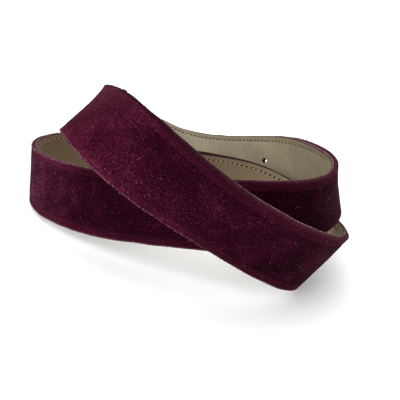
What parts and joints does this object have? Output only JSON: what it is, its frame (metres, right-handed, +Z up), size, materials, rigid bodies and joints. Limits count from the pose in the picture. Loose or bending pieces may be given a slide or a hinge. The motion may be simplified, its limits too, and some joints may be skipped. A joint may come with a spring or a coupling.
{
  "type": "suede belt",
  "caption": "Lined suede strap belt wound in two loose turns and standing on its edge, with a rounded punched tip and a plain hidden end.",
  "frame": {"origin": "on the table, below the middle of the coil's bounding box", "axes": "+X to the right along the coil's front, +Y away from the front, +Z up; the belt stands on its lower edge at z = 0"},
  "size_m": [0.2112, 0.2174, 0.0927],
  "materials": {
    "suede": "velvety burgundy suede nap",
    "lining": "smooth undyed khaki lining leather"
  },
  "bodies": {
    "root": {"suede_outer_back": "suede", "suede_front_wall": "suede", "suede_inner_back": "suede", "suede_front_diagonal": "suede", "suede_hidden_end": "suede", "lining_outer_back": "lining", "lining_front_wall": "lining", "lining_inner_back": "lining", "lining_front_diagonal": "lining", "lining_hidden_end": "lining"}
  },
  "joints": []
}
